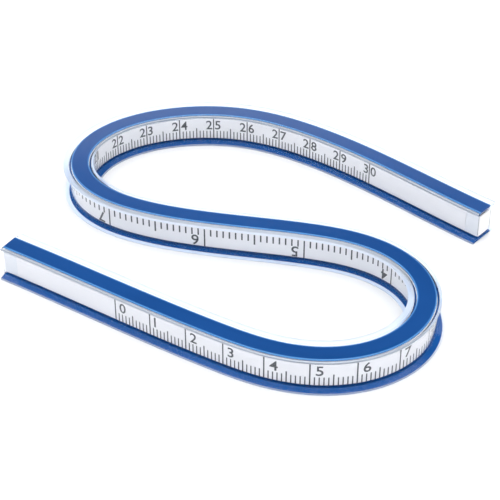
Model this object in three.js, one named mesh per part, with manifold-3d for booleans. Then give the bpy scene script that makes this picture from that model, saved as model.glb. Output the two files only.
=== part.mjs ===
// A 30 cm flexible curve: a bendable ruler of clear plastic with a blue strip along its top and
// bottom, lying on its bottom face in an S. Millimetres, +Z up, origin under the middle of the S.
//
// The real ruler bends at every point of its length. Here it is cut into eight stretches, and each
// one meets the next in a round knuckle, so that it turns about an upright axis. Every stretch
// holds the same seven pieces: lead core, two spring strips, white tube, clear sleeve and the two
// blue strips. A white plug closes each end.

import * as THREE from 'three';
import Module from 'manifold-3d';
import { mergeVertices } from 'three/addons/utils/BufferGeometryUtils.js';

const wasm = await Module();
wasm.setup();

// ---------------------------------------------------------------------------------------------
// Section: u runs across the ruler, towards the inch scale, and z runs up.

const HEIGHT = 8.8;               // from the bottom face to the top face
const GAP = 0.2;                  // clearance between a piece and its neighbour in the section
const STRIP_HALF_WIDTH = 2.3;     // blue strips
const STRIP_THICKNESS = 0.6;
const WALL_REACH = 2.85;          // outer face of the clear sleeve's side walls
const WALL_THICKNESS = 0.4;
const WEB_THICKNESS = 0.25;       // clear plastic under each blue strip
const LIPS = {                    // clear lips beside the blue strips, thinner towards their edges
  topMetric: { reach: 3.5, edge: 0.35, root: 0.9 },
  topInch: { reach: 4.4, edge: 0.6, root: 1.5 },
  bottomMetric: { reach: 4.4, edge: 0.35, root: 0.9 },
  bottomInch: { reach: 4.4, edge: 0.2, root: 0.4 },
};
const TUBE_WALL = 0.4;            // white tube that carries the printed scales
const SPRING_THICKNESS = 0.3;
const CORE_HALF_WIDTH = 1.1;
const CORE_CHAMFER = 0.3;

const CHANNEL_HALF = STRIP_HALF_WIDTH + GAP;
const CHANNEL_DEPTH = STRIP_THICKNESS + GAP;
const BORE_HALF = WALL_REACH - WALL_THICKNESS;
const BORE_FLOOR = CHANNEL_DEPTH + WEB_THICKNESS;
const TUBE_HALF = BORE_HALF - GAP;
const TUBE_FLOOR = BORE_FLOOR + GAP;
const SPRING_OUTER = TUBE_HALF - TUBE_WALL - GAP;
const SPRING_INNER = SPRING_OUTER - SPRING_THICKNESS;
const SPRING_FLOOR = TUBE_FLOOR + TUBE_WALL + GAP;
const CORE_FLOOR = SPRING_FLOOR + GAP;

// ---------------------------------------------------------------------------------------------
// Middle line: distances are measured along it from the zero of the metric scale.

const FIRST_END = -36;            // blank plastic before the zero
const LAST_END = 334;             // and after the 30
const START = { x: -59.56, y: -9.73, heading: -32 };

// [distance, bend in degrees per 10 mm], left turns positive, changing evenly between the rows
const BENDS = [
  [-36, -1.2], [25, 1.6], [41, 14.5], [55, 20.5], [70, 24.8], [85, 28.7], [100, 25.8],
  [115, 15.9], [130, 3.4], [150, -1.9], [170, -8.3], [182, -19.8], [194, -31.1],
  [206, -29.8], [220, -20.3], [234, -13.2], [260, -13.3], [275, -5.7], [290, -3.4], [338, 3.2],
];

const HINGES = [26, 66, 100, 150, 188, 218, 264];   // knuckle axes
const KNUCKLE_RADIUS = LIPS.topInch.reach;
const KNUCKLE_CLEARANCE = 0.3;
const HORN_SETBACK = 2.4;         // the hollow end's horns stop here, which lets a bend open 45 deg
const KNUCKLE_FACETS = 8;         // on the half circle
const TURN_PER_STEP = 14;         // degrees of bend in one straight facet of a stretch
const LONGEST_STEP = 34;
const PLUG_LENGTH = 4;
const PLUG_CLEARANCE = 0.3;

const STEP = 0.25;                // of the running sum that follows the bends
const CUTTER_REACH = 9;

function bendAt(distance) {
  let row = 1;
  while (row < BENDS.length - 1 && BENDS[row][0] < distance) row += 1;
  const [d0, b0] = BENDS[row - 1];
  const [d1, b1] = BENDS[row];
  return b0 + ((b1 - b0) * (distance - d0)) / (d1 - d0);
}

function followBends() {
  const line = [{ x: START.x, y: START.y, heading: THREE.MathUtils.degToRad(START.heading) }];
  const count = Math.round((LAST_END - FIRST_END) / STEP) + Math.round((2 * CUTTER_REACH) / STEP);
  for (let i = 0; i < count; i += 1) {
    const last = line[i];
    const middle = FIRST_END + (i + 0.5) * STEP;
    const turn = THREE.MathUtils.degToRad((bendAt(middle) * STEP) / 10);
    const along = last.heading + turn / 2;
    line.push({
      x: last.x + Math.cos(along) * STEP,
      y: last.y + Math.sin(along) * STEP,
      heading: last.heading + turn,
    });
  }
  return line;
}

const LINE = followBends();

function station(distance) {
  const place = (distance - FIRST_END) / STEP;
  const i = Math.min(Math.floor(place), LINE.length - 2);
  const t = place - i;
  const a = LINE[i];
  const b = LINE[i + 1];
  return {
    x: a.x + (b.x - a.x) * t,
    y: a.y + (b.y - a.y) * t,
    heading: a.heading + (b.heading - a.heading) * t,
  };
}

// The middle line from one distance to another, as the path of an extrusion.
class Stretch extends THREE.Curve {
  constructor(from, to) {
    super();
    this.from = from;
    this.to = to;
  }

  getPoint(t) {
    const { x, y } = station(this.from + (this.to - this.from) * t);
    return new THREE.Vector3(x, y, 0);
  }

  getTangent(t) {
    const { heading } = station(this.from + (this.to - this.from) * t);
    return new THREE.Vector3(Math.cos(heading), Math.sin(heading), 0);
  }

  // distance along the line is the parameter already
  getPointAt(t) {
    return this.getPoint(t);
  }

  getTangentAt(t) {
    return this.getTangent(t);
  }
}

// ---------------------------------------------------------------------------------------------
// Outlines, as [u, z] points

// One side of the sleeve's outline on its inch side, or mirrored on its metric side.
function sleeveSide(bottom, top) {
  return [
    [CHANNEL_HALF, CHANNEL_DEPTH],
    [CHANNEL_HALF, 0],
    [bottom.reach, 0],
    [bottom.reach, bottom.edge],
    [WALL_REACH, bottom.root],
    [WALL_REACH, HEIGHT - top.root],
    [top.reach, HEIGHT - top.edge],
    [top.reach, HEIGHT],
    [CHANNEL_HALF, HEIGHT],
    [CHANNEL_HALF, HEIGHT - CHANNEL_DEPTH],
  ];
}

function sleeveOutline() {
  const inchSide = sleeveSide(LIPS.bottomInch, LIPS.topInch);
  const metricSide = sleeveSide(LIPS.bottomMetric, LIPS.topMetric).map(([u, z]) => [-u, z]);
  return [...inchSide, ...metricSide.reverse()];
}

function box(u0, u1, z0, z1) {
  return [[u0, z0], [u1, z0], [u1, z1], [u0, z1]];
}

function uprightBox(u0, u1, floor) {
  return box(u0, u1, floor, HEIGHT - floor);
}

function coreOutline() {
  const w = CORE_HALF_WIDTH;
  const c = CORE_CHAMFER;
  const low = CORE_FLOOR;
  const high = HEIGHT - CORE_FLOOR;
  return [
    [w - c, low], [w, low + c], [w, high - c], [w - c, high],
    [c - w, high], [-w, high - c], [-w, low + c], [c - w, low],
  ];
}

// An extrusion along a level path puts a shape's x downwards and its y to the left.
function asShape(outline, hole) {
  const turned = (points) => points.map(([u, z]) => new THREE.Vector2(-z, u));
  const shape = new THREE.Shape(turned(outline));
  if (hole) shape.holes.push(new THREE.Path(turned(hole)));
  return shape;
}

const SECTIONS = {
  lead_core: asShape(coreOutline()),
  inch_side_spring: asShape(uprightBox(SPRING_INNER, SPRING_OUTER, SPRING_FLOOR)),
  metric_side_spring: asShape(uprightBox(-SPRING_OUTER, -SPRING_INNER, SPRING_FLOOR)),
  white_tube: asShape(
    uprightBox(-TUBE_HALF, TUBE_HALF, TUBE_FLOOR),
    uprightBox(TUBE_WALL - TUBE_HALF, TUBE_HALF - TUBE_WALL, TUBE_FLOOR + TUBE_WALL),
  ),
  clear_sleeve: asShape(sleeveOutline(), uprightBox(-BORE_HALF, BORE_HALF, BORE_FLOOR)),
  blue_top_strip: asShape(
    box(-STRIP_HALF_WIDTH, STRIP_HALF_WIDTH, HEIGHT - STRIP_THICKNESS, HEIGHT),
  ),
  blue_bottom_strip: asShape(box(-STRIP_HALF_WIDTH, STRIP_HALF_WIDTH, 0, STRIP_THICKNESS)),
};

const INNER_PIECES = ['lead_core', 'inch_side_spring', 'metric_side_spring', 'white_tube'];
const PLUG_SECTION = asShape(uprightBox(-TUBE_HALF, TUBE_HALF, TUBE_FLOOR));

// ---------------------------------------------------------------------------------------------
// Solids

function toSolid(geometry) {
  geometry.deleteAttribute('normal');
  geometry.deleteAttribute('uv');
  const merged = mergeVertices(geometry, 1e-4);
  return new wasm.Manifold(new wasm.Mesh({
    numProp: 3,
    vertProperties: new Float32Array(merged.attributes.position.array),
    triVerts: new Uint32Array(merged.index.array),
  }));
}

function toGeometry(solid) {
  const mesh = solid.getMesh();
  const geometry = new THREE.BufferGeometry();
  geometry.setAttribute('position', new THREE.BufferAttribute(mesh.vertProperties, 3));
  geometry.setIndex(new THREE.BufferAttribute(mesh.triVerts, 1));
  return geometry;
}

function along(section, from, to, steps) {
  return toSolid(new THREE.ExtrudeGeometry(section, {
    extrudePath: new Stretch(from, to),
    steps,
    bevelEnabled: false,
  }));
}

// A plan outline, drawn about a place on the middle line with x forwards, cut straight down.
function planCutter(outline, distance) {
  const { x, y, heading } = station(distance);
  const geometry = new THREE.ExtrudeGeometry(new THREE.Shape(outline), {
    depth: HEIGHT + 2,
    bevelEnabled: false,
  });
  geometry.rotateZ(heading);
  geometry.translate(x, y, -1);
  return toSolid(geometry);
}

function halfCircle(radius) {
  const points = [];
  for (let i = 0; i <= KNUCKLE_FACETS; i += 1) {
    const angle = Math.PI * (i / KNUCKLE_FACETS - 0.5);
    points.push(new THREE.Vector2(radius * Math.cos(angle), radius * Math.sin(angle)));
  }
  return points;
}

// Leaves the round nose in front of a knuckle axis and takes away what lies beyond it.
function noseCutter(hinge) {
  const r = CUTTER_REACH;
  const corners = [new THREE.Vector2(0, r), new THREE.Vector2(r, r), new THREE.Vector2(r, -r),
    new THREE.Vector2(0, -r)];
  return planCutter([...halfCircle(KNUCKLE_RADIUS), ...corners], hinge);
}

// Hollows the end behind a knuckle axis, so that the nose can turn in it.
function socketCutter(hinge) {
  const radius = KNUCKLE_RADIUS + KNUCKLE_CLEARANCE;
  const back = [new THREE.Vector2(-1, radius), new THREE.Vector2(-1, -radius)];
  return planCutter([...halfCircle(radius), ...back], hinge);
}

// Everything within a length of the ruler's end.
function endCutter(end, length) {
  const r = CUTTER_REACH;
  const outline = [[-length, -r], [length, -r], [length, r], [-length, r]];
  return planCutter(outline.map(([x, y]) => new THREE.Vector2(x, y)), end);
}

function stepsBetween(from, to) {
  let turn = 0;
  for (let d = from; d < to; d += 1) turn += Math.abs(bendAt(d)) / 10;
  return Math.max(Math.ceil(turn / TURN_PER_STEP), Math.ceil((to - from) / LONGEST_STEP));
}

// ---------------------------------------------------------------------------------------------
// Materials and the whole ruler

function finish(color, roughness, metalness = 0, opacity = 1) {
  return new THREE.MeshStandardMaterial({
    color, roughness, metalness, opacity, transparent: opacity < 1,
  });
}

const FINISHES = {
  lead_core: finish(0x6d7075, 0.6, 0.8),
  inch_side_spring: finish(0xaeb3b8, 0.35, 1),
  metric_side_spring: finish(0xaeb3b8, 0.35, 1),
  white_tube: finish(0xebebf2, 0.5),
  clear_sleeve: finish(0xdfe8f2, 0.1, 0, 0.45),
  blue_top_strip: finish(0x235ca0, 0.35),
  blue_bottom_strip: finish(0x235ca0, 0.35),
  end_plug: finish(0xf4f4f6, 0.45),
};

function namedMesh(solid, name, material) {
  const mesh = new THREE.Mesh(toGeometry(solid), material);
  mesh.name = name;
  return mesh;
}

function stretchPieces(index) {
  const first = index === 0;
  const last = index === HINGES.length;
  const from = first ? FIRST_END : HINGES[index - 1] + HORN_SETBACK;
  const to = last ? LAST_END : HINGES[index] + KNUCKLE_RADIUS + KNUCKLE_CLEARANCE;
  const steps = stepsBetween(from, to);
  const number = index + 1;
  const pieces = [];
  const cut = (solid, inner) => {
    let piece = solid;
    if (!first) piece = piece.subtract(socketCutter(HINGES[index - 1]));
    if (!last) piece = piece.subtract(noseCutter(HINGES[index]));
    if (inner && first) piece = piece.subtract(endCutter(FIRST_END, PLUG_LENGTH + PLUG_CLEARANCE));
    if (inner && last) piece = piece.subtract(endCutter(LAST_END, PLUG_LENGTH + PLUG_CLEARANCE));
    return piece;
  };
  for (const [name, section] of Object.entries(SECTIONS)) {
    const solid = cut(along(section, from, to, steps), INNER_PIECES.includes(name));
    pieces.push(namedMesh(solid, `${name}_${number}`, FINISHES[name]));
  }
  const plug = (end, name) => {
    const solid = along(PLUG_SECTION, from, to, steps).intersect(endCutter(end, PLUG_LENGTH));
    pieces.push(namedMesh(solid, name, FINISHES.end_plug));
  };
  if (first) plug(FIRST_END, 'end_plug_zero');
  if (last) plug(LAST_END, 'end_plug_thirty');
  return pieces;
}

const ruler = new THREE.Group();
for (let index = 0; index <= HINGES.length; index += 1) {
  ruler.add(...stretchPieces(index));
}

export default ruler;
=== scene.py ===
"""Looks of a 30 cm flexible curve ruler: clear plastic with a blue strip along its top and bottom.

Lengths are in millimetres until a mesh is made, which is in metres in the frame of the CAD part.
Across the ruler u runs towards the inch scale and z runs up; along it, distances run from the
zero of the metric scale. Each run of the ruler spans one bend of the CAD part.
"""

import math
from bisect import bisect_right

import bpy
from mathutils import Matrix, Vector
from mathutils.geometry import tessellate_polygon


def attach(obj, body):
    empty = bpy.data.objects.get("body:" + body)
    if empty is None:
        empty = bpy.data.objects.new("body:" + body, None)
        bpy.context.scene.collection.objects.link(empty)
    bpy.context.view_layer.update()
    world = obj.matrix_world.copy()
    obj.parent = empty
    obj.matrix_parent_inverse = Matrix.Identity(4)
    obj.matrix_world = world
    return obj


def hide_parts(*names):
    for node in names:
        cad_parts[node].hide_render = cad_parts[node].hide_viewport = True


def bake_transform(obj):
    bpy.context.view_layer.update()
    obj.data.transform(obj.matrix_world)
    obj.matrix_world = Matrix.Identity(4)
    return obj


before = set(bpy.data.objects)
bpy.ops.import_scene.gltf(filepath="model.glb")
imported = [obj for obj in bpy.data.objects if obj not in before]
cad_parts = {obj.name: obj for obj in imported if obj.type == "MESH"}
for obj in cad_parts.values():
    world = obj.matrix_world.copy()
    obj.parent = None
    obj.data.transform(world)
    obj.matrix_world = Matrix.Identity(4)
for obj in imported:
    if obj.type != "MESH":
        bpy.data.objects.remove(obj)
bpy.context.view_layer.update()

MM = 0.001

# --------------------------------------------------------------------------------------------
# Section, as in the CAD part

HEIGHT = 8.8
STRIP_HALF_WIDTH = 2.3
STRIP_THICKNESS = 0.6
WALL_REACH = 2.85
WALL_THICKNESS = 0.4
BORE_FLOOR = 1.05
TUBE_HALF = 2.25
TUBE_FLOOR = 1.25
TUBE_WALL = 0.4
SPRING_OUTER = 1.65
SPRING_THICKNESS = 0.3
SPRING_FLOOR = 1.85
CORE_HALF_WIDTH = 1.1
CORE_FLOOR = 2.05
PLUG_LENGTH = 4.0

# reach from the middle, thickness at the edge and at the root, and how far out the painted blue
# goes: fins that stand for the bottom strip seen through the clear lip
LIPS = {
    "top_metric": {"reach": 3.5, "edge": 0.35, "root": 0.9},
    "top_inch": {"reach": 4.4, "edge": 0.6, "root": 1.5},
    "bottom_metric": {"reach": 4.4, "edge": 0.35, "root": 0.9, "blue": 4.1},
    "bottom_inch": {"reach": 4.4, "edge": 0.2, "root": 0.4, "blue": 3.35},
}

# Only in the looks
PROUD = 0.02         # a blue strip stands this far out of the clear plastic
LIP_SKIN = 0.08      # clear plastic over the painted blue in the bottom lips, which stands for the strip seen through them
EDGE_GLOW_WIDTH = 0.4   # of the painted light along the top strip's edges
BONDED = 0.05        # the clear plastic runs this far into a blue strip, so no air shows between
PLUG_CLEARANCE = 0.02      # between a plug and the pieces behind it

# --------------------------------------------------------------------------------------------
# Middle line, as in the CAD part

FIRST_END = -36.0
LAST_END = 334.0
START = {"x": -59.56, "y": -9.73, "heading": -32.0}

# (distance, bend in degrees per 10 mm), left turns positive, changing evenly between the rows
BENDS = [
    (-36, -1.2), (25, 1.6), (41, 14.5), (55, 20.5), (70, 24.8), (85, 28.7), (100, 25.8),
    (115, 15.9), (130, 3.4), (150, -1.9), (170, -8.3), (182, -19.8), (194, -31.1),
    (206, -29.8), (220, -20.3), (234, -13.2), (260, -13.3), (275, -5.7), (290, -3.4), (338, 3.2),
]
HINGES = [26, 66, 100, 150, 188, 218, 264]
STEP = 0.25          # of the running sum that follows the bends
RING_EVERY = 1.0     # distance between the rings of a run's mesh


def bend_at(distance):
    row = min(max(bisect_right([d for d, _ in BENDS], distance), 1), len(BENDS) - 1)
    (d0, b0), (d1, b1) = BENDS[row - 1], BENDS[row]
    return b0 + (b1 - b0) * (distance - d0) / (d1 - d0)


def follow_bends():
    x, y, heading = START["x"], START["y"], math.radians(START["heading"])
    line = [(x, y, heading)]
    for i in range(round((LAST_END - FIRST_END) / STEP) + 1):
        turn = math.radians(bend_at(FIRST_END + (i + 0.5) * STEP) * STEP / 10)
        along = heading + turn / 2
        x += math.cos(along) * STEP
        y += math.sin(along) * STEP
        heading += turn
        line.append((x, y, heading))
    return line


LINE = follow_bends()


class Station:
    """A place on the middle line, with the way across it."""

    def __init__(self, distance):
        place = (distance - FIRST_END) / STEP
        i = min(max(int(place), 0), len(LINE) - 2)
        t = place - i
        x, y, heading = (a + (b - a) * t for a, b in zip(LINE[i], LINE[i + 1]))
        self.middle = Vector((x, y, 0))
        self.forwards = Vector((math.cos(heading), math.sin(heading), 0))
        self.across = Vector((-math.sin(heading), math.cos(heading), 0))

    def point(self, u, z):
        return (self.middle + self.across * u + Vector((0, 0, z))) * MM

    def direction(self, u, z):
        return self.across * u + Vector((0, 0, z))


# --------------------------------------------------------------------------------------------
# Outlines: rounded loops of (u, z)

ARC_STEPS = 4


def rounded(corners):
    """A closed outline from (u, z, radius) corners, anticlockwise, with an arc at each corner."""
    points = []
    count = len(corners)
    for i, (u, z, radius) in enumerate(corners):
        here = Vector((u, z))
        back = (Vector(corners[i - 1][:2]) - here).normalized()
        ahead = (Vector(corners[(i + 1) % count][:2]) - here).normalized()
        half = back.angle(ahead) / 2
        centre = here + (back + ahead).normalized() * (radius / math.sin(half))
        first = here + back * (radius / math.tan(half)) - centre
        last = here + ahead * (radius / math.tan(half)) - centre
        sweep = math.atan2(first.x * last.y - first.y * last.x, first.dot(last))
        for k in range(ARC_STEPS + 1):
            angle = sweep * k / ARC_STEPS
            cos, sin = math.cos(angle), math.sin(angle)
            arm = Vector((first.x * cos - first.y * sin, first.x * sin + first.y * cos))
            points.append(tuple(centre + arm))
    return points


def box(u0, u1, z0, z1, radius):
    return rounded([(u0, z0, radius), (u1, z0, radius), (u1, z1, radius), (u0, z1, radius)])


def upright_box(u0, u1, floor, radius):
    return box(u0, u1, floor, HEIGHT - floor, radius)


def sleeve_side(bottom, top):
    """The inch side of the clear sleeve, or its metric side mirrored."""
    channel = STRIP_HALF_WIDTH - BONDED
    depth = STRIP_THICKNESS - BONDED
    return [
        (channel, depth, 0.03),
        (channel, 0, 0.03),
        (bottom["reach"], 0, 0.08),
        (bottom["reach"], bottom["edge"], 0.1),
        (WALL_REACH, bottom["root"], 0.2),
        (WALL_REACH, HEIGHT - top["root"], 0.3),
        (top["reach"], HEIGHT - top["edge"], 0.12),
        (top["reach"], HEIGHT, 0.12),
        (channel, HEIGHT, 0.03),
        (channel, HEIGHT - depth, 0.03),
    ]


def sleeve_outline():
    inch_side = sleeve_side(LIPS["bottom_inch"], LIPS["top_inch"])
    metric_side = sleeve_side(LIPS["bottom_metric"], LIPS["top_metric"])
    return rounded(inch_side + [(-u, z, radius) for u, z, radius in reversed(metric_side)])


def bottom_strip_side(lip):
    """Half of the bottom strip, with blue fins in the clear lip out to its "blue": painted
    reflection of the strip, which the clear lip shows blue.
    """
    skin = LIP_SKIN
    share = (lip["blue"] - WALL_REACH) / (lip["reach"] - WALL_REACH)
    lip_top = lip["root"] + share * (lip["edge"] - lip["root"])
    return [
        (STRIP_HALF_WIDTH, -PROUD, 0.02),
        (STRIP_HALF_WIDTH, skin / 2, 0.02),
        (lip["blue"], skin / 2, 0.01),
        (lip["blue"], lip_top - skin, 0.01),
        (WALL_REACH - skin, lip["root"] - skin, 0.02),
        (STRIP_HALF_WIDTH, STRIP_THICKNESS, 0.02),
    ]


def bottom_strip_outline():
    inch_side = bottom_strip_side(LIPS["bottom_inch"])
    metric_side = bottom_strip_side(LIPS["bottom_metric"])
    return rounded(inch_side + [(-u, z, radius) for u, z, radius in reversed(metric_side)])


def hole(outline):
    return outline[::-1]


BORE = hole(upright_box(WALL_THICKNESS - WALL_REACH, WALL_REACH - WALL_THICKNESS, BORE_FLOOR, 0.12))
TUBE_INSIDE = hole(upright_box(TUBE_WALL - TUBE_HALF, TUBE_HALF - TUBE_WALL,
                               TUBE_FLOOR + TUBE_WALL, 0.1))
SECTIONS = {
    "lead_core": [upright_box(-CORE_HALF_WIDTH, CORE_HALF_WIDTH, CORE_FLOOR, 0.3)],
    "inch_side_spring": [
        upright_box(SPRING_OUTER - SPRING_THICKNESS, SPRING_OUTER, SPRING_FLOOR, 0.05)],
    "metric_side_spring": [
        upright_box(-SPRING_OUTER, SPRING_THICKNESS - SPRING_OUTER, SPRING_FLOOR, 0.05)],
    "white_tube": [upright_box(-TUBE_HALF, TUBE_HALF, TUBE_FLOOR, 0.15), TUBE_INSIDE],
    "clear_sleeve": [sleeve_outline(), BORE],
    "blue_top_strip": [
        box(-STRIP_HALF_WIDTH, STRIP_HALF_WIDTH, HEIGHT - STRIP_THICKNESS, HEIGHT + PROUD, 0.08)],
    # painted reflection: the bottom strip reaches into the clear lips as blue fins, standing for the
    # strip seen through them
    "blue_bottom_strip": [bottom_strip_outline()],
}
INNER_PIECES = ("lead_core", "inch_side_spring", "metric_side_spring", "white_tube")
PLUG_SECTION = [upright_box(-TUBE_HALF, TUBE_HALF, TUBE_FLOOR, 0.15)]

# --------------------------------------------------------------------------------------------
# Materials

STRAIGHT = "straight_ruler"   # on every vertex: where it would be on the ruler bent straight, in mm
NOISE_LOW, NOISE_HIGH = 0.3, 0.7   # the part of a noise's range that shows
HAZE_FADE = 0.2               # the distance across the ruler over which the haze sets in
HAZE_FLOOR, HAZE_FULL = 6.0, 7.0   # heights between which the top lips' haze sets in
CLEAR_IOR = 1.3               # lower than vinyl's, against dark streaks in the lips


def new_material(name):
    material = bpy.data.materials.new(name)
    material.use_nodes = True
    tree = material.node_tree
    shader = tree.nodes["Principled BSDF"]
    return material, tree, shader


def straight_place(tree):
    """The place in the straight ruler: along, across and up."""
    place = tree.nodes.new("ShaderNodeAttribute")
    place.attribute_name = STRAIGHT
    return place.outputs["Vector"]


def straight_axes(tree):
    """The same place as separate X, Y and Z."""
    split = tree.nodes.new("ShaderNodeSeparateXYZ")
    tree.links.new(straight_place(tree), split.inputs["Vector"])
    return split.outputs


def straight_noise(tree, stretch, scale, detail=3.0, seed=0.0):
    """Noise that follows the ruler's bends, drawn out along it by stretch."""
    mapping = tree.nodes.new("ShaderNodeMapping")
    mapping.inputs["Location"].default_value = (seed, seed, seed)
    mapping.inputs["Scale"].default_value = (1 / stretch, 1, 1)
    noise = tree.nodes.new("ShaderNodeTexNoise")
    noise.inputs["Scale"].default_value = scale
    noise.inputs["Detail"].default_value = detail
    tree.links.new(straight_place(tree), mapping.inputs["Vector"])
    tree.links.new(mapping.outputs["Vector"], noise.inputs["Vector"])
    return noise.outputs["Fac"]


def ramp(tree, source, low, high, start=NOISE_LOW, end=NOISE_HIGH):
    """Colours or greys between low and high as source goes from start to end."""
    node = tree.nodes.new("ShaderNodeValToRGB")
    node.color_ramp.elements[0].position = start
    node.color_ramp.elements[1].position = end
    node.color_ramp.elements[0].color = (*low, 1)
    node.color_ramp.elements[1].color = (*high, 1)
    tree.links.new(source, node.inputs["Fac"])
    return node.outputs["Color"]


def map_range(tree, source, start, end, low, high):
    node = tree.nodes.new("ShaderNodeMapRange")
    node.inputs["From Min"].default_value = start
    node.inputs["From Max"].default_value = end
    node.inputs["To Min"].default_value = low
    node.inputs["To Max"].default_value = high
    tree.links.new(source, node.inputs["Value"])
    return node.outputs["Result"]


def value_range(tree, noise, low, high):
    return map_range(tree, noise, NOISE_LOW, NOISE_HIGH, low, high)


def maths(tree, operation, *inputs):
    node = tree.nodes.new("ShaderNodeMath")
    node.operation = operation
    for slot, value in zip(node.inputs, inputs):
        tree.links.new(value, slot)
    return node.outputs["Value"]


def lip_haze(tree):
    """1 where a lip scatters light, in the top lips and outside the painted blue of the bottom ones.
    """
    place = straight_axes(tree)
    reach = maths(tree, "ABSOLUTE", place["Y"])
    top_lips = maths(tree, "MULTIPLY",
                     map_range(tree, reach, WALL_REACH, WALL_REACH + HAZE_FADE, 0, 1),
                     map_range(tree, place["Z"], HAZE_FLOOR, HAZE_FULL, 0, 1))
    inch_blue = LIPS["bottom_inch"]["blue"]
    metric_blue = LIPS["bottom_metric"]["blue"]
    inch_edge = map_range(tree, place["Y"], inch_blue, inch_blue + HAZE_FADE, 0, 1)
    metric_edge = map_range(tree, place["Y"], -metric_blue, -metric_blue - HAZE_FADE, 0, 1)
    return maths(tree, "MAXIMUM", top_lips, maths(tree, "ADD", inch_edge, metric_edge))


def bump(tree, shader, source, height_mm):
    node = tree.nodes.new("ShaderNodeBump")
    node.inputs["Distance"].default_value = height_mm * MM
    tree.links.new(source, node.inputs["Height"])
    tree.links.new(node.outputs["Normal"], shader.inputs["Normal"])


def lighter_edges(tree, colour, glow_colour):
    """The colour of a strip with painted light: lighter along the edges that meet the clear plastic,
    standing for light glowing through the plastic onto the strip's sides.
    """
    reach = maths(tree, "ABSOLUTE", straight_axes(tree)["Y"])
    mix = tree.nodes.new("ShaderNodeMix")
    mix.data_type = "RGBA"
    # a mix node's sockets share names between its types, so the colour ones go by number
    factor_in, inner_in, glow_in = (mix.inputs[i] for i in (0, 6, 7))
    start = STRIP_HALF_WIDTH - EDGE_GLOW_WIDTH
    tree.links.new(map_range(tree, reach, start, STRIP_HALF_WIDTH, 0, 1), factor_in)
    tree.links.new(colour, inner_in)
    glow_in.default_value = (*glow_colour, 1)
    return mix.outputs[2]


def blue_plastic(name, low, high, shine, glow_colour=None):
    material, tree, shader = new_material(name)
    lines = straight_noise(tree, 40, 3.0)
    clouds = straight_noise(tree, 3, 0.12, seed=20)
    grain = straight_noise(tree, 2, 6.0, seed=40)
    colour = ramp(tree, clouds, low, high)
    # painted light: the strip is made lighter along its edges, as a glow through the clear plastic
    if glow_colour:
        colour = lighter_edges(tree, colour, glow_colour)
    tree.links.new(colour, shader.inputs["Base Color"])
    shader.inputs["Specular IOR Level"].default_value = shine
    tree.links.new(value_range(tree, lines, 0.04, 0.08), shader.inputs["Roughness"])
    bump(tree, shader, grain, 0.012)
    return material


def clear_plastic():
    material, tree, shader = new_material("clear_plastic")
    shader.inputs["IOR"].default_value = CLEAR_IOR
    haze = lip_haze(tree)
    tree.links.new(ramp(tree, haze, (0.95, 0.975, 1.0), (0.81, 0.88, 0.99), 0.0, 1.0),
                   shader.inputs["Base Color"])
    tree.links.new(map_range(tree, haze, 0, 1, 0.07, 0.32), shader.inputs["Roughness"])
    tree.links.new(map_range(tree, haze, 0, 1, 1.0, 0.72), shader.inputs["Transmission Weight"])
    bump(tree, shader, straight_noise(tree, 25, 0.9, seed=9), 0.01)
    # shadow rays go straight through, so that the studio's light reaches the scales
    output = tree.nodes["Material Output"]
    rays = tree.nodes.new("ShaderNodeLightPath")
    clear = tree.nodes.new("ShaderNodeBsdfTransparent")
    clear.inputs["Color"].default_value = (0.93, 0.965, 1.0, 1)
    mix = tree.nodes.new("ShaderNodeMixShader")
    tree.links.new(rays.outputs["Is Shadow Ray"], mix.inputs["Fac"])
    tree.links.new(shader.outputs["BSDF"], mix.inputs[1])
    tree.links.new(clear.outputs["BSDF"], mix.inputs[2])
    tree.links.new(mix.outputs["Shader"], output.inputs["Surface"])
    return material


def white_plastic(name, low, high):
    material, tree, shader = new_material(name)
    clouds = straight_noise(tree, 6, 0.25, seed=3)
    tree.links.new(ramp(tree, clouds, low, high), shader.inputs["Base Color"])
    grain = straight_noise(tree, 1.5, 5.0, seed=11)
    tree.links.new(value_range(tree, grain, 0.42, 0.55), shader.inputs["Roughness"])
    bump(tree, shader, grain, 0.006)
    return material


def ink():
    material, tree, shader = new_material("scale_ink")
    cover = straight_noise(tree, 1, 2.5, seed=17)
    tree.links.new(ramp(tree, cover, (0.045, 0.045, 0.05), (0.065, 0.065, 0.075)),
                   shader.inputs["Base Color"])
    shader.inputs["Roughness"].default_value = 0.6
    return material


def metal(name, low, high, rough_low, rough_high, stretch):
    material, tree, shader = new_material(name)
    shader.inputs["Metallic"].default_value = 1.0
    grain = straight_noise(tree, stretch, 4.0, seed=7)
    tree.links.new(ramp(tree, grain, low, high), shader.inputs["Base Color"])
    tree.links.new(value_range(tree, grain, rough_low, rough_high), shader.inputs["Roughness"])
    bump(tree, shader, grain, 0.01)
    return material


# painted light: the top strip's edges are mixed towards a lighter blue, a glow of light coming
# through the clear plastic
BLUE = blue_plastic("blue_plastic", (0.005, 0.052, 0.205), (0.007, 0.062, 0.235), 0.5,
                    glow_colour=(0.09, 0.29, 0.62))
# painted light: the bottom strip's blue is lighter than the top strip's, standing for the bright sky
# reflected in the clear bottom lips over it
BLUE_UNDER_CLEAR_PAINTED_LIGHTER = blue_plastic("blue_plastic_under_clear_painted_lighter",
                                (0.008, 0.085, 0.31), (0.011, 0.10, 0.35), 0.05)
CLEAR = clear_plastic()
WHITE = white_plastic("white_plastic", (0.88, 0.84, 0.84), (0.92, 0.88, 0.88))
PLUG_WHITE = white_plastic("plug_plastic", (0.80, 0.79, 0.81), (0.84, 0.83, 0.85))
INK = ink()
STEEL = metal("spring_steel", (0.42, 0.44, 0.46), (0.55, 0.57, 0.60), 0.22, 0.38, 30)
LEAD = metal("lead", (0.16, 0.165, 0.175), (0.24, 0.245, 0.26), 0.5, 0.7, 1)

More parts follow.
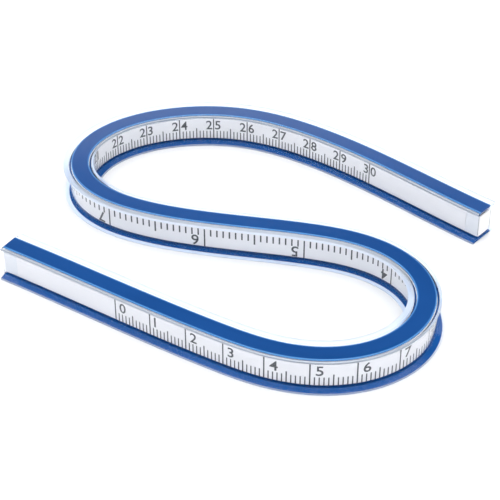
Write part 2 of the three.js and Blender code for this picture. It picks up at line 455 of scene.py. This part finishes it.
FINISHES = {
    "lead_core": (LEAD, "lead"),
    "inch_side_spring": (STEEL, "spring_steel"),
    "metric_side_spring": (STEEL, "spring_steel"),
    "white_tube": (WHITE, "white_plastic"),
    "clear_sleeve": (CLEAR, "clear_plastic"),
    "blue_top_strip": (BLUE, "blue_plastic"),
    "blue_bottom_strip": (BLUE_UNDER_CLEAR_PAINTED_LIGHTER, "blue_plastic"),
}

# --------------------------------------------------------------------------------------------
# Meshes

SMOOTH_WITHIN = math.radians(35)   # corners turning less than this are shaded round
EASED = ((0.0, 0.12), (0.05, 0.04), (0.14, 0.0))   # (from a cut end, how far its edge is drawn in)


class Mesh:
    """Points, faces and the shading direction of every face corner, gathered into one object."""

    def __init__(self):
        self.points = []
        self.straight = []
        self.faces = []
        self.normals = []

    def add_point(self, place, straight):
        self.points.append(place)
        self.straight.append(straight)
        return len(self.points) - 1

    def add_face(self, corners, normals):
        self.faces.append(corners)
        self.normals.extend(normals)

    def to_object(self, name, material):
        mesh = bpy.data.meshes.new(name)
        mesh.from_pydata(self.points, [], self.faces)
        mesh.polygons.foreach_set("use_smooth", [True] * len(mesh.polygons))
        where = mesh.attributes.new(STRAIGHT, "FLOAT_VECTOR", "POINT")
        where.data.foreach_set("vector", [value for place in self.straight for value in place])
        mesh.normals_split_custom_set(self.normals)
        mesh.materials.append(material)
        piece = bpy.data.objects.new(name, mesh)
        bpy.context.scene.collection.objects.link(piece)
        return piece


def edge_directions(loop):
    """Outward normals of a loop's edges, as long as the edges."""
    normals = []
    for i, (u, z) in enumerate(loop):
        nu, nz = loop[(i + 1) % len(loop)]
        normals.append(Vector((nz - z, u - nu)))
    return normals


def corner_normals(loop):
    """For each edge of a loop, the shading directions at its two ends. Long edges stay flat."""
    flat = edge_directions(loop)
    count = len(loop)
    pairs = []
    for i, own in enumerate(flat):
        ends = []
        for other in (flat[i - 1], flat[(i + 1) % count]):
            smooth = own.angle(other) < SMOOTH_WITHIN
            ends.append((own + other).normalized() if smooth else own.normalized())
        pairs.append(ends)
    return pairs


def drawn_in(loop, amount):
    """The loop moved inwards, towards the material's side. No corner moves over twice the amount."""
    if not amount:
        return loop
    flat = [direction.normalized() for direction in edge_directions(loop)]
    moved = []
    for i, (u, z) in enumerate(loop):
        out = flat[i - 1] + flat[i]
        out = out / max(out.length_squared / 2, 0.5)
        moved.append((u - out.x * amount, z - out.y * amount))
    return moved


def ring_places(start, end, cut_start, cut_end):
    """(distance, how far the section is drawn in) from start to end."""
    first = [(start + d, amount) for d, amount in EASED] if cut_start else [(start, 0.0)]
    last = [(end - d, amount) for d, amount in reversed(EASED)] if cut_end else [(end, 0.0)]
    a, b = first[-1][0], last[0][0]
    count = max(round((b - a) / RING_EVERY), 1)
    between = [(a + (b - a) * i / count, 0.0) for i in range(1, count)]
    return first + between + last


def sweep(loops, start, end, cut_start, cut_end, capped=True):
    """The section swept along the middle line. A cut end has eased edges and always a cap."""
    made = Mesh()
    places = ring_places(start, end, cut_start, cut_end)
    rings = []
    for distance, amount in places:
        station = Station(distance)
        ring = []
        for loop in loops:
            ring.append([made.add_point(station.point(u, z), (distance, u, z))
                         for u, z in drawn_in(loop, amount)])
        rings.append((station, ring))
    for loop_index, loop in enumerate(loops):
        shading = corner_normals(loop)
        for (station_a, ring_a), (station_b, ring_b) in zip(rings, rings[1:]):
            a, b = ring_a[loop_index], ring_b[loop_index]
            for i, (n0, n1) in enumerate(shading):
                j = (i + 1) % len(loop)
                made.add_face(
                    (a[i], a[j], b[j], b[i]),
                    (station_a.direction(*n0), station_a.direction(*n1),
                     station_b.direction(*n1), station_b.direction(*n0)))
    if cut_start or capped:
        add_cap(made, loops, rings[0], places[0][1], -1)
    if cut_end or capped:
        add_cap(made, loops, rings[-1], places[-1][1], 1)
    return made


def add_cap(made, loops, placed_ring, amount, facing):
    station, ring = placed_ring
    flat = [[Vector((u, z, 0)) for u, z in drawn_in(loop, amount)] for loop in loops]
    points = [point for loop in flat for point in loop]
    indices = [index for loop in ring for index in loop]
    normal = station.forwards * facing
    for triangle in tessellate_polygon(flat):
        a, b, c = (points[i] for i in triangle)
        anticlockwise = (b - a).cross(c - a).z > 0
        corners = [indices[i] for i in triangle]
        if anticlockwise != (facing > 0):
            corners.reverse()
        made.add_face(corners, [normal] * 3)


# --------------------------------------------------------------------------------------------
# Runs: one over each bend, meeting halfway along the stretches between

SEAMS = [(a + b) / 2 for a, b in zip(HINGES, HINGES[1:])]
RUNS = list(zip([FIRST_END] + SEAMS, SEAMS + [LAST_END]))


def settle(piece, nodes=()):
    """Bakes a finished piece's transform and hides the CAD parts it stands for."""
    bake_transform(piece)
    if nodes:
        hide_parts(*nodes)


def make_run(index):
    start, end = RUNS[index]
    cut_start = index == 0
    cut_end = index == len(RUNS) - 1
    for kind, loops in SECTIONS.items():
        material, slot = FINISHES[kind]
        a, b = start, end
        if kind in INNER_PIECES:
            a += (PLUG_LENGTH + PLUG_CLEARANCE) * cut_start
            b -= (PLUG_LENGTH + PLUG_CLEARANCE) * cut_end
        # where two runs meet, every piece but the clear sleeve is capped
        mesh = sweep(loops, a, b, cut_start, cut_end, capped=kind != "clear_sleeve")
        piece = mesh.to_object(f"{kind}_run_{index + 1}", material)
        settle(piece, [f"{kind}_{index + 1}", f"{kind}_{index + 2}"])


def make_plugs():
    for name, body, start, end in (
        ("end_plug_zero", "stretch_1", FIRST_END, FIRST_END + PLUG_LENGTH),
        ("end_plug_thirty", f"stretch_{len(HINGES) + 1}", LAST_END - PLUG_LENGTH, LAST_END),
    ):
        piece = sweep(PLUG_SECTION, start, end, True, True).to_object(f"{name}_shaped", PLUG_WHITE)
        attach(piece, body)
        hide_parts(name)


# --------------------------------------------------------------------------------------------
# Printed scales

METRIC, INCH = -1, 1
METRIC_ZERO = -1.7       # distance of each scale's zero along the middle line
INCH_ZERO = 2.0
INCH_LENGTH = 25.4
METRIC_MARKS = 300
INCHES = 11
SIXTEENTHS = 16
INK_LIFT = 0.02          # thickness of the ink on the tube
INK_SINK = 0.02          # and how far its back lies in the tube
LABEL_LOW = TUBE_FLOOR + 0.1
LABEL_HIGH = HEIGHT - LABEL_LOW
INCH_TOP = 6.6           # where the lines of the inch scale start, below the wide lip


def run_of(distance):
    return bisect_right(SEAMS, distance)


def ink_point(made, side, lift, distance, z):
    u = side * (TUBE_HALF + lift)
    return made.add_point(Station(distance).point(u, z), (distance, u, z))


def add_bar(made, side, distance, width, z0, z1):
    """One printed line across the scale, as a very thin block."""
    out = Station(distance).direction(side, 0)
    corners = [(distance - width / 2, z0), (distance + width / 2, z0),
               (distance + width / 2, z1), (distance - width / 2, z1)]
    front = [ink_point(made, side, INK_LIFT, d, z) for d, z in corners]
    back = [ink_point(made, side, -INK_SINK, d, z) for d, z in corners]
    if side == INCH:
        front.reverse()
        back.reverse()
    made.add_face(front, [out] * 4)
    made.add_face(back[::-1], [-out] * 4)
    centre = sum((made.points[i] for i in front), Vector()) / 4
    for i in range(4):
        j = (i + 1) % 4
        rim = ((made.points[front[i]] + made.points[front[j]]) / 2 - centre).normalized()
        made.add_face((front[i], back[i], back[j], front[j]), [rim] * 4)


METRIC_LINE = {"width": 0.32, "low": LABEL_LOW, "high": LABEL_HIGH}
METRIC_HALF = {"width": 0.3, "low": LABEL_LOW, "high": LABEL_LOW + 3.15}
METRIC_TICK = {"width": 0.27, "low": LABEL_LOW, "high": LABEL_LOW + 2.3}
INCH_LINE = {"width": 0.36, "low": LABEL_LOW, "high": INCH_TOP}
INCH_HALF = {"width": 0.4, "low": INCH_TOP - 3.0, "high": INCH_TOP}
INCH_TICK = {"width": 0.38, "low": INCH_TOP - 2.0, "high": INCH_TOP}


def metric_marks():
    for millimetre in range(METRIC_MARKS + 1):
        if millimetre % 10 == 0:
            mark = METRIC_LINE
        elif millimetre % 5 == 0:
            mark = METRIC_HALF
        else:
            mark = METRIC_TICK
        yield METRIC_ZERO + millimetre, mark


def inch_marks():
    for sixteenth in range(INCHES * SIXTEENTHS + 1):
        if sixteenth % SIXTEENTHS == 0:
            mark = INCH_LINE
        elif sixteenth % (SIXTEENTHS // 2) == 0:
            mark = INCH_HALF
        else:
            mark = INCH_TICK
        yield INCH_ZERO + sixteenth * INCH_LENGTH / SIXTEENTHS, mark


def make_marks(name, side, marks):
    made = [Mesh() for _ in RUNS]
    for distance, mark in marks:
        add_bar(made[run_of(distance)], side, distance, mark["width"], mark["low"], mark["high"])
    for index, mesh in enumerate(made):
        if mesh.faces:
            settle(mesh.to_object(f"{name}_run_{index + 1}", INK))


# Numerals

# gap: from a line to the single digit after it
METRIC_TEXT = {"side": METRIC, "height": 2.8, "foot": 4.1, "upright": True, "gap": 1.25}
INCH_TEXT = {"side": INCH, "height": 3.1, "foot": 4.55, "upright": False, "gap": 1.5}
PAIR_GAP = 0.42          # from a line to each digit of a pair that straddles it


def glyph(character):
    """A numeral as flat points and faces, its foot on y = 0, its left on x = 0 and 1 high."""
    curve = bpy.data.curves.new("glyph", "FONT")
    curve.body = character
    curve.resolution_u = 4
    curve.offset = 0.01
    holder = bpy.data.objects.new("glyph", curve)
    bpy.context.scene.collection.objects.link(holder)
    bpy.context.view_layer.update()
    flat = holder.to_mesh()
    low = Vector((min(v.co.x for v in flat.vertices), min(v.co.y for v in flat.vertices)))
    high = Vector((max(v.co.x for v in flat.vertices), max(v.co.y for v in flat.vertices)))
    tall = high.y - low.y
    points = [((v.co.x - low.x) / tall, (v.co.y - low.y) / tall) for v in flat.vertices]
    faces = [tuple(face.vertices) for face in flat.polygons]
    holder.to_mesh_clear()
    bpy.data.objects.remove(holder)
    bpy.data.curves.remove(curve)
    return {"points": points, "faces": faces, "width": (high.x - low.x) / tall}


GLYPHS = {character: glyph(character) for character in "0123456789"}


def add_glyph(made, text, character, left):
    """A numeral whose left edge is at distance left, head up or head down."""
    shape = GLYPHS[character]
    side, height = text["side"], text["height"]
    rise = height if text["upright"] else -height
    front, back = [], []
    for x, y in shape["points"]:
        distance = left + x * height
        z = text["foot"] + y * rise
        front.append(ink_point(made, side, INK_LIFT, distance, z))
        back.append(ink_point(made, side, -INK_SINK, distance, z))
    out = Station(left).direction(side, 0)
    rim = {}
    for face in shape["faces"]:
        for a, b in zip(face, face[1:] + face[:1]):
            rim[(a, b)] = (b, a) not in rim
            if (b, a) in rim:
                rim[(a, b)] = rim[(b, a)] = False
        made.add_face([front[i] for i in face], [out] * len(face))
        made.add_face([back[i] for i in reversed(face)], [-out] * len(face))
    for (a, b), outer in rim.items():
        if outer:
            edge = made.points[front[b]] - made.points[front[a]]
            normal = edge.cross(out).normalized()
            made.add_face((front[a], back[a], back[b], front[b]), [normal] * 4)


def make_numerals(name, text, numbers):
    made = [Mesh() for _ in RUNS]
    for number, distance in numbers:
        mesh = made[run_of(distance)]
        digits = str(number)
        if len(digits) == 1:
            add_glyph(mesh, text, digits, distance + text["gap"])
        else:
            width = GLYPHS[digits[0]]["width"] * text["height"]
            add_glyph(mesh, text, digits[0], distance - PAIR_GAP - width)
            add_glyph(mesh, text, digits[1], distance + PAIR_GAP)
    for index, mesh in enumerate(made):
        if mesh.faces:
            settle(mesh.to_object(f"{name}_run_{index + 1}", INK))


def make_scales():
    make_marks("metric_marks", METRIC, metric_marks())
    make_marks("inch_marks", INCH, inch_marks())
    centimetres = [(cm, METRIC_ZERO + cm * 10) for cm in range(METRIC_MARKS // 10 + 1)]
    inches = [(inch, INCH_ZERO + inch * INCH_LENGTH) for inch in range(INCHES + 1)]
    make_numerals("metric_numerals", METRIC_TEXT, centimetres)
    make_numerals("inch_numerals", INCH_TEXT, inches)


# --------------------------------------------------------------------------------------------
# Camera, floor and light

CAMERA_PLACE = (-0.46, -309.61, 230.62)
CAMERA_AIM = (-0.46, -1.33, 0.0)
CAMERA_LENS = 109.6
SENSOR_WIDTH = 36.0
FLOOR_HALF = 3.0        # in metres
FLOOR_DROP = 0.03       # the floor lies this far under the CAD part


def make_camera():
    camera = bpy.data.objects.new("camera", bpy.data.cameras.new("camera"))
    camera.location = Vector(CAMERA_PLACE) * MM
    aim = Vector(CAMERA_AIM) * MM
    camera.rotation_euler = (aim - camera.location).to_track_quat("-Z", "Y").to_euler()
    camera.data.lens = CAMERA_LENS
    camera.data.sensor_width = SENSOR_WIDTH
    camera.data.clip_start = 0.01
    camera.data.clip_end = 20.0
    bpy.context.scene.collection.objects.link(camera)
    bpy.context.scene.camera = camera


def make_floor():
    mesh = bpy.data.meshes.new("floor")
    corners = [(-1, -1), (1, -1), (1, 1), (-1, 1)]
    places = [(x * FLOOR_HALF, y * FLOOR_HALF, -FLOOR_DROP * MM) for x, y in corners]
    mesh.from_pydata(places, [], [(0, 1, 2, 3)])
    material, _, shader = new_material("floor_white")
    shader.inputs["Base Color"].default_value = (0.8, 0.8, 0.8, 1)
    shader.inputs["Roughness"].default_value = 0.9
    shader.inputs["Specular IOR Level"].default_value = 0.1
    mesh.materials.append(material)
    floor = bpy.data.objects.new("floor", mesh)
    bpy.context.scene.collection.objects.link(floor)


# the studio's light by degrees above the horizon: a backdrop all round, brightest near its top
# edge, a dim room above it and a wide soft box overhead
LOWEST_LIGHT = 1.35
LIGHT_STEPS = [
    {"at": 28.0, "edge": 2.0, "light": 1.9},
    {"at": 32.3, "edge": 0.9, "light": 0.1},
    {"at": 50.0, "edge": 7.0, "light": 2.65},
]


def light_step(tree, height, step, change):
    """Light that changes by an amount across an elevation."""
    node = tree.nodes.new("ShaderNodeMapRange")
    node.interpolation_type = "SMOOTHSTEP"
    node.inputs["From Min"].default_value = math.sin(math.radians(step["at"] - step["edge"]))
    node.inputs["From Max"].default_value = math.sin(math.radians(step["at"] + step["edge"]))
    node.inputs["To Min"].default_value = 0.0
    node.inputs["To Max"].default_value = change
    tree.links.new(height, node.inputs["Value"])
    return node.outputs["Result"]


def make_light():
    world = bpy.data.worlds.new("studio")
    world.use_nodes = True
    tree = world.node_tree
    background = tree.nodes["Background"]
    place = tree.nodes.new("ShaderNodeTexCoord")
    split = tree.nodes.new("ShaderNodeSeparateXYZ")
    tree.links.new(place.outputs["Generated"], split.inputs["Vector"])
    light = LOWEST_LIGHT
    strength = None
    for step in LIGHT_STEPS:
        total = tree.nodes.new("ShaderNodeMath")
        change = step["light"] - light
        tree.links.new(light_step(tree, split.outputs["Z"], step, change), total.inputs[0])
        if strength:
            tree.links.new(strength, total.inputs[1])
        else:
            total.inputs[1].default_value = LOWEST_LIGHT
        light = step["light"]
        strength = total.outputs["Value"]
    tree.links.new(strength, background.inputs["Strength"])
    background.inputs["Color"].default_value = (0.985, 0.99, 1.0, 1)
    bpy.context.scene.world = world
    bpy.context.scene.view_settings.view_transform = "Standard"


make_camera()
make_floor()
make_light()
for run_index in range(len(RUNS)):
    make_run(run_index)
make_plugs()
make_scales()
